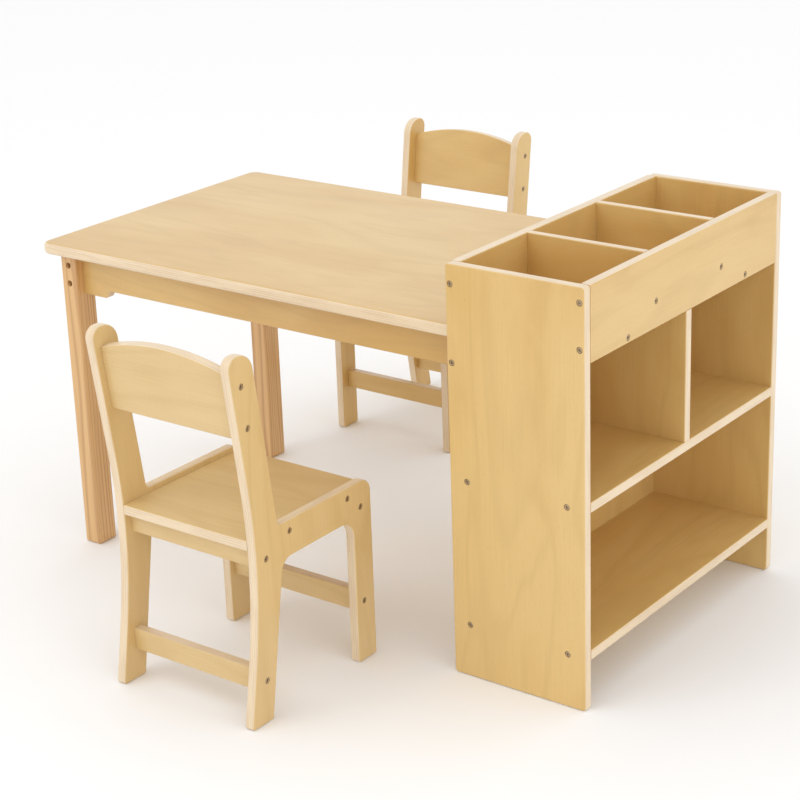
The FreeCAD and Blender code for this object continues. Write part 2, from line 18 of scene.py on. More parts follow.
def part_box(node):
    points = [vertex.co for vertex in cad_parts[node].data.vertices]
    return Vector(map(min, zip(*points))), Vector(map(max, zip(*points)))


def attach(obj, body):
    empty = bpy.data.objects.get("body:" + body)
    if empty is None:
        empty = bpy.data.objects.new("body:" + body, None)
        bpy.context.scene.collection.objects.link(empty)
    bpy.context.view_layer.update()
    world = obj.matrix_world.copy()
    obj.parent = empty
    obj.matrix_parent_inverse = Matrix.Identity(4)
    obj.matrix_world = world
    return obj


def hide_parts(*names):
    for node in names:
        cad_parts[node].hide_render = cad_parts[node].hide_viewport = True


bl_info = {
    "name": "Craft Table Set",
    "version": (1, 0, 0),
    "blender": (4, 5, 0),
    "location": "View3D > Sidebar > Craft Table",
    "description": "Plywood craft table with a storage unit and two children's chairs",
    "category": "Object",
}

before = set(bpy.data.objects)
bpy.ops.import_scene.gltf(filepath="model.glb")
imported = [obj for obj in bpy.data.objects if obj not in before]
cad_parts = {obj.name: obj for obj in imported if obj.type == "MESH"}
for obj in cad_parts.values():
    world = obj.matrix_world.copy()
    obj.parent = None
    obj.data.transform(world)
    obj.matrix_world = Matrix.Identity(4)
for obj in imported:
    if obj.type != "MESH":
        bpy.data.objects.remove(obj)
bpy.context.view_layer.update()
MM = 0.001
EPS = 1e-7          # points nearer than this are one point
TOUCH = 1e-5        # a fastener this near to a face starts on it
CORNER_SINE = 0.3   # sides that turn by more than this sine meet at a corner, not along a curve
ROOT = Matrix.Identity(4)


def length(name, text, millimetres):
    """A size property, given in millimetres and kept in metres."""
    return FloatProperty(name=name, description=text, default=millimetres * MM, min=0.0,
                         unit="LENGTH", precision=4)


def colour(name, text, value):
    """A colour property, in linear light."""
    return FloatVectorProperty(name=name, description=text, default=value, size=3, min=0.0, max=1.0,
                               subtype="COLOR")


def share(name, text, value):
    """A property between none and all."""
    return FloatProperty(name=name, description=text, default=value, min=0.0, max=1.0,
                         subtype="FACTOR")


def degrees(name, text, value):
    """An angle property, given in degrees and kept in radians."""
    return FloatProperty(name=name, description=text, default=math.radians(value), subtype="ANGLE")


def amount(name, text, value, unit="NONE"):
    """A plain number property."""
    return FloatProperty(name=name, description=text, default=value, unit=unit)


def whole(name, text, value):
    """A property that counts points or strips."""
    return IntProperty(name=name, description=text, default=value, min=1)


def spot(name, text, value):
    """A place in the room."""
    return FloatVectorProperty(name=name, description=text, default=value, size=3,
                               subtype="TRANSLATION", unit="LENGTH")


# ---- settings
class BoardSettings(PropertyGroup):
    """Edges and corners of the boards."""
    edge_round: length("Edge round", "Softened edge that shows", 2.2)
    butt_round: length("Butt edge", "Nearly square edge that meets another board", 0.25)
    top_round: length("Top edge", "Rounded edge of the table top", 6.0)
    top_corner: length("Top corner", "Outer corners of the table top", 18.0)
    panel_corner: length("Panel corner", "Corners of the unit's sides", 5.0)
    arc_steps: whole("Arc steps", "Strips along each rounded corner", 12)
    round_steps: whole("Round steps", "Strips across a softened edge", 5)
    crease: degrees("Crease", "Edges that turn by more than this stay sharp", 40)


class ChairSettings(PropertyGroup):
    """A chair's boards, measured back from its front edge and up from the floor."""
    side_top: length("Side top", "Height of the side beside the seat", 274)
    front_leg: length("Front leg", "Width of the front leg", 41)
    arch_top: length("Arch top", "Height of the arch between the legs", 222)
    rear_foot: length("Rear foot", "Width of the rear foot", 44)
    foot_end: length("Foot end", "Back edge of the rear foot", 273.5)
    post_wide: length("Post", "Width of the back post", 46)
    waist: length("Waist", "Depth of the side at its waist, without its rounding", 247)
    bend: length("Bend", "Radius of the rear edge at the waist", 844)
    lower_sweep: amount("Lower sweep", "Slope of the rear leg", 0.17)
    post_lean: amount("Post lean", "Slope of the back post", 0.133)
    inner_sweep: amount("Inner sweep", "Slope inside the rear leg", 0.163)
    foot_round: length("Foot corner", "Corner radius at the floor", 4)
    front_round: length("Front corner", "Top front corner of the side", 20)
    seat_round: length("Seat corner", "Inner corner between side and post", 8)
    tip_front: length("Tip front", "Front corner at the top of the post", 28)
    tip_rear: length("Tip rear", "Rear corner at the top of the post", 16)
    arch_front: length("Arch front", "Front corner of the arch", 26)
    arch_rear: length("Arch rear", "Rear corner of the arch", 22)
    board: length("Board", "Thickness of the backrest", 15)
    back_low: length("Backrest bottom", "Height of the backrest's lower edge", 412)
    back_high: length("Backrest top", "Height of the top of its arch", 520)
    back_rise: length("Backrest arch", "Rise of the backrest's top edge", 18)
    back_inset: length("Backrest inset", "From the backrest to the post's rear edge", 11)
    back_steps: whole("Backrest steps", "Strips along the backrest's arch", 32)
    back_screw_low: length("Lower back screw", "Height of the backrest's lower screws", 428)
    back_screw_high: length("Upper back screw", "Height of the backrest's upper screws", 487)
    seat_screw_front: length("Front seat screw", "Seat's first screws, back from its front", 52)
    seat_screw_rear: length("Rear seat screw", "Seat's last screws, back from its front", 177)


class FastenerSettings(PropertyGroup):
    """Panel screws, and their places in the storage unit."""
    head: length("Head", "Radius of a screw's head", 4.4)
    head_thick: length("Head thickness", "From the head's top to the end of its rim", 2.6)
    socket: share("Socket", "Size of the hexagonal socket, as a share of the head", 0.5)
    socket_deep: length("Socket depth", "Depth of the hexagonal socket", 2.0)
    shank: length("Shank", "Radius of the shank", 2.4)
    long: length("Length", "Length of the screw", 44.5)
    point: length("Point", "Length of the screw's point", 7)
    around: whole("Points round", "Points round each screw", 36)
    sink: length("Sink", "How far the head lies below the face", 0.35)
    well: length("Well", "Radius of the well round the head", 4.6)
    well_deep: length("Well depth", "Depth of the well below the head's top", 3.2)
    well_points: whole("Well points", "Points round each well", 24)
    shelf_inset: length("Shelf inset", "Shelf and rear board screws, in from the edge", 28)
    tray_inset: length("Tray inset", "Front board screws, in from the board's edge", 21)
    row_rise: length("Row rise", "Partition screws, above the underside of the tray's floor", 38)
    row_share: share("Row place", "Partition screws, in from each end of the unit", 1 / 3)
    floor_share: share("Floor place", "Tray floor screws, in from each end of the unit", 0.2)
    divider_near: length("Divider near", "Divider's first screws, in from the table's side", 65)
    divider_far: length("Divider far", "Divider's last screws, in from the table's side", 165)


class WoodSettings(PropertyGroup):
    """Colours and scale of the woods."""
    veneer_pale: colour("Pale veneer", "Lighter veneer", (0.70, 0.475, 0.18))
    veneer_warm: colour("Warm veneer", "Warmer veneer", (0.635, 0.395, 0.125))
    # Painted light: the near chair's veneer is mixed towards this paler tone, painted to stand in
    # for the light that falls on that chair.
    veneer_light: colour("Light painted_lit_tint", "Veneer of a lighter painted_lit_tint", (0.69, 0.53, 0.29))
    near_light: share("Near chair", "How much of the near chair is from the lighter painted_lit_tint", 0.45)
    edge_pale: colour("Pale ply", "Plies cut along the grain", (0.80, 0.645, 0.44))
    edge_dark: colour("End ply", "Plies cut across the grain", (0.66, 0.47, 0.28))
    pine_pale: colour("Pale pine", "Early wood of the legs", (0.70, 0.43, 0.18))
    pine_dark: colour("Dark pine", "Late wood of the legs", (0.47, 0.23, 0.075))
    ply_thick: length("Ply", "Thickness of one ply", 1.66)
    stave: length("Stave", "Width of one glued stave of pine", 10.6)
    roughness: share("Roughness", "Roughness of the wood under its lacquer", 0.42)
    coat: share("Lacquer", "Strength of the clear lacquer", 0.5)
    coat_rough: share("Lacquer roughness", "Roughness of the clear lacquer", 0.24)


class MetalSettings(PropertyGroup):
    """Finish of the metal fasteners."""
    bronze: colour("Bronze", "Dark bronze plating", (0.50, 0.385, 0.25))
    bronze_rough: share("Bronze roughness", "Roughness of the bronze plating", 0.36)
    zinc: colour("Zinc", "Bright zinc plating", (0.56, 0.56, 0.54))
    zinc_rough: share("Zinc roughness", "Roughness of the zinc plating", 0.3)


class StageSettings(PropertyGroup):
    """Camera, light and floor."""
    camera_place: spot("Camera place", "Where the camera stands", (1.800, -2.409, 1.383))
    heading: degrees("Heading", "Camera's turn from +Y towards -X", 37.34)
    tilt: degrees("Tilt", "Camera's tilt below the horizon", 19.55)
    roll: degrees("Roll", "Camera's roll", -2.01)
    lens: amount("Lens", "Focal length in millimetres", 92.48, "CAMERA")
    sensor: amount("Sensor", "Width of the sensor in millimetres", 36.0, "CAMERA")
    rise: amount("Rise", "Vertical shift of the lens", -0.05)
    floor_size: length("Floor", "Width of the floor", 40000)
    floor_drop: length("Floor drop", "How far the floor lies below the feet", 0.5)
    floor_colour: colour("Floor colour", "Pale floor", (0.94, 0.94, 0.94))
    floor_rough: share("Floor roughness", "Roughness of the floor", 0.9)
    key_place: spot("Key place", "Where the key light hangs", (-0.9, -2.6, 3.0))
    key_aim: spot("Key aim", "What the key light points at", (0.0, 0.0, 0.25))
    key_wide: length("Key width", "Width of the key light", 2200)
    key_high: length("Key height", "Height of the key light", 2200)
    key_power: amount("Key power", "Power of the key light", 20.0, "POWER")
    fill_place: spot("Fill place", "Where the fill light hangs", (5.2, -1.8, 1.7))
    fill_aim: spot("Fill aim", "What the fill light points at", (0.0, 0.0, 0.3))
    fill_wide: length("Fill width", "Width of the fill light", 4000)
    fill_high: length("Fill height", "Height of the fill light", 3000)
    fill_power: amount("Fill power", "Power of the fill light", 44.0, "POWER")
    sky: amount("Room light", "Strength of the even room light", 1.02)


class CraftTableSettings(PropertyGroup):
    """All settings of the set."""
    board: PointerProperty(type=BoardSettings)
    chair: PointerProperty(type=ChairSettings)
    fastener: PointerProperty(type=FastenerSettings)
    wood: PointerProperty(type=WoodSettings)
    metal: PointerProperty(type=MetalSettings)
    stage: PointerProperty(type=StageSettings)


def settings():
    """The set's settings in this scene."""
    return bpy.context.scene.craft_table


# ---- surfaces
def outline(corners, rounds, steps):
    """A closed outline, counter-clockwise.

    Each corner (u, v, radius) becomes the circular arc that touches both of its sides: from the
    touching point, the point is turned about the arc's centre by equal shares of the corner's turn.
    rounds[i] belongs to the side after corner i.  Returns the points and the round of each piece of
    outline that follows a point.
    """
    corners = np.asarray(corners, float)
    rounds = np.asarray(rounds, float) * np.ones(len(corners))
    place, radius = corners[:, :2], corners[:, 2]
    out = np.roll(place, -1, 0) - place
    out /= np.linalg.norm(out, axis=1, keepdims=True)
    into = np.roll(out, 1, 0)
    turn = np.arctan2(into[:, 0] * out[:, 1] - into[:, 1] * out[:, 0], (into * out).sum(1))
    start = place - into * (radius * np.tan(abs(turn) / 2))[:, None]
    left = np.stack([-into[:, 1], into[:, 0]], 1) * np.sign(turn)[:, None]
    centre = start + left * radius[:, None]
    part = np.linspace(0, 1, steps + 1)
    angle = turn[:, None] * part
    arm = start - centre
    along = arm[:, None, 0] * np.cos(angle) - arm[:, None, 1] * np.sin(angle)
    across = arm[:, None, 0] * np.sin(angle) + arm[:, None, 1] * np.cos(angle)
    points = (centre[:, None] + np.stack([along, across], 2)).reshape(-1, 2)
    bend = np.minimum(rounds, np.roll(rounds, 1))
    piece_round = np.repeat(bend[:, None], steps + 1, 1)
    piece_round[:, -1] = rounds
    keep = np.linalg.norm(np.roll(points, -1, 0) - points, axis=1) > EPS
    return points[keep], piece_round.reshape(-1)[keep]


def inward(points, rounds):
    """The shift of each outline point that moves the sides beside it inwards by their rounds.

    The shift x satisfies x.a = round a and x.b = round b for the two outward normals a and b, or is
    the mitre of their mean where the sides are nearly in line.
    """
    ahead = np.roll(points, -1, 0) - points
    ahead /= np.linalg.norm(ahead, axis=1, keepdims=True)
    b = np.stack([ahead[:, 1], -ahead[:, 0]], 1)
    a = np.roll(b, 1, 0)
    round_b, round_a = rounds, np.roll(rounds, 1)
    cross = a[:, 0] * b[:, 1] - a[:, 1] * b[:, 0]
    sharp = abs(cross) > CORNER_SINE
    safe = np.where(sharp, cross, 1.0)
    solved = np.stack([round_a * b[:, 1] - round_b * a[:, 1],
                       round_b * a[:, 0] - round_a * b[:, 0]], 1)
    middle = (round_a + round_b) / 2
    mitre = (a + b) * (middle / (1 + (a * b).sum(1)))[:, None]
    return -np.where(sharp[:, None], solved / safe[:, None], mitre), middle


def ring_faces(first, second):
    """Quads between two closed rings of point numbers."""
    return np.stack([first, np.roll(first, -1), np.roll(second, -1), second], 1).tolist()


def cap(border, wells):
    """Triangles, counter-clockwise, that fill a border but leave its round wells open.

    The border and the wells' rings are the fixed edges of a Delaunay triangulation.  A triangle is
    in a well when its three corners all belong to that well's ring.
    """
    rings = [border, *wells]
    points = np.vstack(rings)
    owner = np.repeat(np.arange(len(rings)), [len(ring) for ring in rings])
    edges = []
    for index in range(len(rings)):
        numbers = np.flatnonzero(owner == index)
        edges += list(zip(numbers.tolist(), np.roll(numbers, -1).tolist()))
    inside_only, tolerance = 1, 1e-9
    corners = [Vector(point) for point in points.tolist()]
    found = delaunay_2d_cdt(corners, edges, [], inside_only, tolerance)
    origin = np.array([numbers[0] for numbers in found[3]])
    faces = origin[np.array([list(face) for face in found[2]])]
    ring = owner[faces]
    in_well = (ring[:, 0] > 0) & (ring == ring[:, :1]).all(1)
    faces = faces[~in_well]
    corner = points[faces]
    side, other = corner[:, 1] - corner[:, 0], corner[:, 2] - corner[:, 0]
    clockwise = side[:, 0] * other[:, 1] - side[:, 1] * other[:, 0] < 0
    faces[clockwise] = faces[clockwise][:, ::-1]
    return faces


def plate(points, rounds, thick, wells=()):
    """A board: an outline carried through the thickness, with softened edges and round wells.

    Row t of the softened edge stands round * (1 - sin t) inside the outline and round * (1 - cos t)
    from the face, for t from 0 to a quarter turn, on both faces.  A well (u, v, radius, depth, is
    high) is a flat-bottomed hole in the high or the low face.  Returns points and faces.
    """
    shift, round_here = inward(points, rounds)
    t = np.linspace(0, math.pi / 2, settings().board.round_steps + 1)[:, None]
    inset, drop = 1 - np.sin(t), (1 - np.cos(t)) * round_here
    edge = points + shift * inset[:, :, None]
    low = np.concatenate([edge, drop[:, :, None]], 2)
    high = np.concatenate([edge, thick - drop[:, :, None]], 2)[::-1]
    grid = np.concatenate([low, high])
    rows, count = grid.shape[:2]
    verts = [grid.reshape(-1, 3)]
    number = np.arange(rows * count).reshape(rows, count)
    faces = []
    for row in range(rows - 1):
        faces += ring_faces(number[row], number[row + 1])
    total = rows * count
    a = np.linspace(0, 2 * math.pi, settings().fastener.well_points, endpoint=False)
    circle = np.stack([np.cos(a), np.sin(a)], 1)
    for high_face, border, level, into in ((False, 0, 0.0, 1.0), (True, rows - 1, thick, -1.0)):
        rings = []
        numbers = [number[border]]
        for u, v, radius, depth, _ in [well for well in wells if well[-1] == high_face]:
            ring = (u, v) + radius * circle
            rim = np.arange(total, total + len(ring))
            floor = rim + len(ring)
            total += 2 * len(ring)
            flat = np.full((len(ring), 1), level)
            verts += [np.hstack([ring, flat]), np.hstack([ring, flat + into * depth])]
            faces += ring_faces(rim, floor) if high_face else ring_faces(floor, rim)
            faces.append((floor if high_face else floor[::-1]).tolist())
            rings.append(ring)
            numbers.append(rim)
        fill = np.concatenate(numbers)[cap(grid[border, :, :2], rings)]
        faces += (fill if high_face else fill[:, ::-1]).tolist()
    return np.vstack(verts), faces


def turned(profile, around):
    """A turned fastener: rows (radius, height, hex) carried round the Z axis.

    At angle a the radius is multiplied by cos(30 deg) / cos(a mod 60 deg - 30 deg), the edge of a
    hexagon, in so far as hex is 1 and not 0.  The first and the last row are closed by a flat face.
    """
    profile = np.asarray(profile, float)
    a = np.linspace(0, 2 * math.pi, around, endpoint=False)
    sixth = math.pi / 3
    hexagon = math.cos(sixth / 2) / np.cos(a % sixth - sixth / 2)
    radius = profile[:, :1] * (1 + profile[:, 2:] * (hexagon - 1))
    height = profile[:, 1:2] * np.ones(around)
    verts = np.stack([radius * np.cos(a), radius * np.sin(a), height], 2)
    number = np.arange(verts.shape[0] * around).reshape(-1, around)
    faces = []
    for row in range(len(profile) - 1):
        faces += ring_faces(number[row], number[row + 1])
    faces.append(number[0][::-1].tolist())
    faces.append(number[-1].tolist())
    return verts.reshape(-1, 3), faces


def copies(verts, faces, stands):
    """One mesh with a copy of the surface at every stand, a 4 by 4 matrix."""
    stands = np.array([np.array(stand) for stand in stands])
    spread = np.einsum("sij,pj->spi", stands[:, :3, :3], verts) + stands[:, None, :3, 3]
    every = []
    for index in range(len(stands)):
        every += [[number + index * len(verts) for number in face] for face in faces]
    return spread.reshape(-1, 3), every


# ---- stands
# A board's own axes u, v and w: w runs through its thickness, and ORDER names the frame's axes that
# u, v and w lie along for a board that is thin along X, Y or Z.
WHERE = {"x": 0, "y": 1, "z": 2}
ORDER = {"x": "yzx", "y": "zxy", "z": "xyz"}


def axes_stand(thick_axis, low):
    """The stand whose third axis is the board's thickness, and whose origin is its low corner."""
    stand = Matrix.Identity(4)
    for column, axis in enumerate(ORDER[thick_axis]):
        for row in range(3):
            stand[row][column] = 1.0 if row == WHERE[axis] else 0.0
    stand.translation = low
    return stand


def facing(point, way):
    """A stand at a point with its Z axis along way."""
    return Matrix.Translation(point) @ Vector(way).to_track_quat("Z", "Y").to_matrix().to_4x4()


def box_in(stand, node):
    """A node's low and high corners in a stand's axes."""
    back = stand.inverted()
    ends = np.array([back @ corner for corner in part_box(node)])
    return Vector(ends.min(0)), Vector(ends.max(0))


def slab(node, thick_axis, base):
    """A rectangular board's stand and its sizes along u, v and w, from its node's box."""
    low, high = box_in(base, node)
    u, v, thick = [(high - low)[WHERE[axis]] for axis in ORDER[thick_axis]]
    return base @ axes_stand(thick_axis, low), u, v, thick


# ---- materials
def rgba(value, shade=1.0):
    """A colour for a socket, or a darker shade of it."""
    return (*[part * shade for part in value], 1.0)


class Recipe:
    """Adds nodes to a tree and links them, with plain numbers or sockets as inputs."""

    def __init__(self, tree):
        self.tree = tree

    def node(self, kind, inputs=(), **choices):
        """A new shader node, with its choices set and its inputs filled."""
        made = self.tree.nodes.new("ShaderNode" + kind)
        for word, value in choices.items():
            setattr(made, word, value)
        for place, value in dict(inputs).items():
            self.put(made.inputs[place], value)
        return made

    def put(self, socket, value):
        """Links a socket to an input, or sets the input's own value."""
        if isinstance(value, bpy.types.NodeSocket):
            self.tree.links.new(value, socket)
        else:
            socket.default_value = value

    def math(self, operation, *values):
        """One step of arithmetic."""
        return self.node("Math", enumerate(values), operation=operation).outputs[0]

    def noise(self, vector, along, across, through, detail=2.0, rough=0.5, distortion=0.0):
        """Cloudy noise, with so many features per metre along each axis of the vector."""
        scales = {0: vector, 1: (along, across, through)}
        sized = self.node("VectorMath", scales, operation="MULTIPLY").outputs[0]
        inputs = {"Vector": sized, "Scale": 1.0, "Detail": detail, "Roughness": rough,
                  "Distortion": distortion}
        return self.node("TexNoise", inputs).outputs["Fac"]

    def chance(self, value):
        """A chance number from 0 to 1 that is the same wherever value is."""
        inputs = {"W": value}
        return self.node("TexWhiteNoise", inputs, noise_dimensions="1D").outputs["Value"]

    def between(self, value, low, high, at_low=0.0, at_high=1.0):
        """A smooth step from at_low to at_high as value goes from low to high."""
        inputs = {"Value": value, "From Min": low, "From Max": high,
                  "To Min": at_low, "To Max": at_high}
        return self.node("MapRange", inputs, interpolation_type="SMOOTHSTEP").outputs["Result"]

    def mix(self, factor, first, second):
        """The first colour, turned into the second by factor."""
        made = self.node("Mix", data_type="RGBA")
        for place, value in ((0, factor), (6, first), (7, second)):
            self.put(made.inputs[place], value)
        return made.outputs[2]


def wood_group(name, build):
    """A node group with a wood's pattern: board coordinates in, colour, roughness and grain out."""
    if name in bpy.data.node_groups:
        return bpy.data.node_groups[name]
    tree = bpy.data.node_groups.new(name, "ShaderNodeTree")
    sockets = (("Board", "Vector", "INPUT"), ("Thickness", "Float", "INPUT"),
               ("Light", "Float", "INPUT"), ("Color", "Color", "OUTPUT"),
               ("Roughness", "Float", "OUTPUT"), ("Grain", "Float", "OUTPUT"))
    for word, kind, way in sockets:
        tree.interface.new_socket(word, in_out=way, socket_type="NodeSocket" + kind)
    source = tree.nodes.new("NodeGroupInput")
    target = tree.nodes.new("NodeGroupOutput")
    for place, result in enumerate(build(Recipe(tree), *source.outputs[:3])):
        tree.links.new(result, target.inputs[place])
    return tree


def plywood_pattern(recipe, board, thick, light):
    """Veneer on the faces and alternating plies through the thickness.

    The board's X runs along the grain, Y across it and Z through the thickness from a face.
    """
    wood = settings().wood
    depth = recipe.node("SeparateXYZ", {0: board}).outputs[2]
    nearest = recipe.math("MINIMUM", depth, recipe.math("SUBTRACT", thick, depth))

    # Two slow changes of tone make the veneer paler and warmer.
    cloud = recipe.noise(board, 5.0, 11.0, 0.0, detail=3.0, distortion=0.4)
    drift = recipe.noise(board, 1.1, 3.1, 0.0, detail=1.0)
    tone = recipe.math("MULTIPLY_ADD", cloud, 0.5, recipe.math("MULTIPLY", drift, 0.5))
    veneer = recipe.mix(recipe.between(tone, 0.36, 0.64), rgba(wood.veneer_pale),
                        rgba(wood.veneer_warm))
    # Painted light: the Light share mixes the near chair's veneer towards a paler, painted lit
    # tone.
    veneer = recipe.mix(light, veneer, rgba(wood.veneer_light))

    # The figure is the contour lines of a slow hill; streaks and pores follow the grain.  Each mark
    # has where it starts, where it is full, its strength, and how dark it is.
    hill = recipe.noise(board, 1.6, 9.0, 0.0, rough=0.35, distortion=0.5)
    figure = recipe.math("PINGPONG", recipe.math("MULTIPLY", hill, 13.0), 1.0)
    streak = recipe.noise(board, 9.0, 420.0, 3.0, detail=3.0, rough=0.6)
    pores = recipe.noise(board, 120.0, 1300.0, 0.0, detail=1.0)
    marks = ((figure, 0.55, 1.00, 0.16, 0.76), (streak, 0.42, 0.66, 0.11, 0.78),
             (pores, 0.64, 0.74, 0.26, 0.58), (cloud, 0.60, 0.72, 0.16, 0.80))
    for pattern, start, full, strength, dark in marks:
        veneer = recipe.mix(recipe.between(pattern, start, full, 0.0, strength), veneer,
                            rgba(wood.veneer_warm, dark))

    # The plies waver a little, every second one is cut across its grain, and some are patchy.
    waver = recipe.noise(board, 26.0, 26.0, 0.0, detail=1.0)
    waver = recipe.math("MULTIPLY", waver, 0.5)
    ply = recipe.math("MULTIPLY_ADD", depth, 1 / wood.ply_thick, waver)
    layer = recipe.math("FLOOR", ply)
    patchy = recipe.between(recipe.noise(board, 14.0, 14.0, 90.0), 0.4, 0.6, 0.35, 1.0)
    crosswise = recipe.math("MULTIPLY", recipe.math("MODULO", layer, 2.0), 0.55)
    edge = recipe.mix(recipe.math("MULTIPLY", crosswise, patchy), rgba(wood.edge_pale),
                      rgba(wood.edge_dark))
    fibre = recipe.noise(board, 260.0, 260.0, 1800.0)
    edge = recipe.mix(recipe.between(fibre, 0.45, 0.7, 0.0, 0.18), edge, rgba(wood.edge_dark))

    # A thin glue line lies between two plies, and each has its own strength.
    line = recipe.between(recipe.math("PINGPONG", ply, 0.5), 0.03, 0.12, 1.0, 0.0)
    strength = recipe.math("MULTIPLY_ADD", recipe.chance(layer), 0.6, 0.2)
    strength = recipe.math("MULTIPLY", strength, patchy)
    edge = recipe.mix(recipe.math("MULTIPLY", line, strength), edge, rgba(wood.edge_dark, 0.55))

    on_face = recipe.between(nearest, 0.55 * MM, 1.1 * MM, 1.0, 0.0)
    shade = recipe.mix(on_face, edge, veneer)
    rough = recipe.math("MULTIPLY_ADD", streak, 0.16, wood.roughness - 0.08)
    grain = recipe.math("MULTIPLY_ADD", streak, -0.6, recipe.math("MULTIPLY", pores, -0.4))
    return shade, rough, grain


def pine_pattern(recipe, board, _thick, _light):
    """Edge-glued staves of pine with long growth lines.  The board's X runs along the grain."""
    wood = settings().wood
    _, across, through = recipe.node("SeparateXYZ", {0: board}).outputs
    stave = recipe.math("DIVIDE", across, wood.stave)
    chance = recipe.chance(recipe.math("FLOOR", stave))
    seed = recipe.node("CombineXYZ", {0: recipe.math("MULTIPLY", chance, 7.0)}).outputs[0]
    moved = recipe.node("VectorMath", {0: board, 1: seed}, operation="ADD").outputs[0]

    # Growth lines cross the stave at a slant and waver along it; late wood is the dark of each.
    wave = recipe.noise(moved, 2.2, 40.0, 30.0, detail=1.0)
    rings = recipe.math("MULTIPLY_ADD", across, 330.0, recipe.math("MULTIPLY", wave, 5.0))
    rings = recipe.math("MULTIPLY_ADD", through, 90.0, rings)
    late = recipe.between(recipe.math("PINGPONG", rings, 1.0), 0.42, 0.95, 0.0, 0.85)
    streak = recipe.noise(moved, 7.0, 520.0, 520.0, detail=3.0, rough=0.6)
    tone = recipe.mix(late, rgba(wood.pine_pale), rgba(wood.pine_dark))
    tone = recipe.mix(recipe.between(chance, 0.0, 1.0, 0.0, 0.45), tone, rgba(wood.pine_pale))
    tone = recipe.mix(recipe.between(streak, 0.45, 0.7, 0.0, 0.30), tone, rgba(wood.pine_dark))
    seam = recipe.between(recipe.math("PINGPONG", stave, 0.5), 0.005, 0.03, 0.5, 0.0)
    tone = recipe.mix(seam, tone, rgba(wood.pine_dark, 0.6))
    rough = recipe.math("MULTIPLY_ADD", streak, 0.15, wood.roughness - 0.04)
    grain = recipe.math("MULTIPLY", recipe.math("ADD", streak, late), -0.5)
    return tone, rough, grain


def wood_material(name, pattern, to_board, thick, seed, light=0.0):
    """A lacquered wood in a board's own axes, with a seed for its own place in the pattern."""
    wood = settings().wood
    material = bpy.data.materials.new(name)
    material.use_nodes = True
    tree = material.node_tree
    recipe = Recipe(tree)
    board = Matrix.Translation((seed * 1.7, seed * 0.61, 0.0)) @ to_board
    mapping = recipe.node("Mapping", {"Vector": recipe.node("TexCoord").outputs["Object"],
                                      "Location": board.translation,
                                      "Rotation": board.to_euler("XYZ")})
    group = recipe.node("Group")
    group.node_tree = wood_group(pattern.__name__, pattern)
    for word, value in (("Board", mapping.outputs[0]), ("Thickness", thick), ("Light", light)):
        recipe.put(group.inputs[word], value)
    bump = recipe.node("Bump", {"Height": group.outputs["Grain"], "Strength": 0.35,
                                "Distance": 0.15 * MM})
    shader = tree.nodes["Principled BSDF"].inputs
    for word, value in (("Base Color", group.outputs["Color"]), ("Normal", bump.outputs[0]),
                        ("Roughness", group.outputs["Roughness"]), ("Coat Weight", wood.coat),
                        ("Coat Roughness", wood.coat_rough)):
        recipe.put(shader[word], value)
    return material


def metal_material(slot):
    """Plated steel with fine scratches and a duller, darker tone in patches."""
    name = slot + "_plating"
    if name in bpy.data.materials:
        return bpy.data.materials[name]
    metal = settings().metal
    tint, rough = {"bronzed_steel": (metal.bronze, metal.bronze_rough),
                   "zinc_plated_steel": (metal.zinc, metal.zinc_rough)}[slot]
    material = bpy.data.materials.new(name)
    material.use_nodes = True
    recipe = Recipe(material.node_tree)
    place = recipe.node("TexCoord").outputs["Object"]
    patch = recipe.noise(place, 420.0, 420.0, 420.0, detail=3.0)
    patch = recipe.between(patch, 0.4, 0.65, 0.0, 0.35)
    scratch = recipe.noise(place, 2600.0, 2600.0, 300.0)
    bump = recipe.node("Bump", {"Height": scratch, "Strength": 0.25, "Distance": 0.03 * MM})
    shader = material.node_tree.nodes["Principled BSDF"].inputs
    for word, value in (("Base Color", recipe.mix(patch, rgba(tint), rgba(tint, 0.5))),
                        ("Roughness", recipe.math("MULTIPLY_ADD", scratch, 0.25, rough - 0.12)),
                        ("Normal", bump.outputs[0]), ("Metallic", 1.0)):
        recipe.put(shader[word], value)
    return material


# Turns a board's stand so that its X runs along the face grain.
GRAIN_AXIS = {"u": ROOT, "v": Matrix.Rotation(-math.pi / 2, 4, "Z")}


def plywood(name, stand, thick, grain):
    """Plywood in a board's stand, with its face grain along the board's u or v axis."""
    sheets = 37
    seed = sum(name.encode()) % sheets
    # Painted light: only the near chair's boards get the paler, painted lit tone.
    light = settings().wood.near_light if name.startswith("near_chair") else 0.0
    to_board = GRAIN_AXIS[grain] @ stand.inverted()
    return wood_material(name + "_plywood", plywood_pattern, to_board, thick, seed, light)


# ---- pieces
def show(name, verts, faces, body, node, material):
    """Puts a surface into a mesh object at the origin, as a piece that stands for a CAD node."""
    mesh = bpy.data.meshes.new(name)
    mesh.from_pydata(np.asarray(verts).tolist(), [], faces)
    mesh.validate()
    mesh.polygons.foreach_set("use_smooth", np.ones(len(mesh.polygons), bool))
    mesh.set_sharp_from_angle(angle=settings().board.crease)
    mesh.materials.append(material)
    piece = bpy.data.objects.new(name, mesh)
    bpy.context.scene.collection.objects.link(piece)
    weighted = piece.modifiers.new("Face weighted normals", "WEIGHTED_NORMAL")
    weighted.keep_sharp = True
    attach(piece, body)
    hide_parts(node)


def in_stand(stand, verts):
    """Points of a stand's axes, in the frame's."""
    matrix = np.array(stand)
    return verts @ matrix[:3, :3].T + matrix[:3, 3]


def show_board(node, body, stand, shape, thick, grain, wells=()):
    """Makes the board that stands for a node, with its outline and wells in its stand."""
    verts, faces = plate(*shape, thick, wells)
    material = plywood(node, stand, thick, grain)
    name = node + "_finished"
    show(name, in_stand(stand, verts), faces, body, node, material)


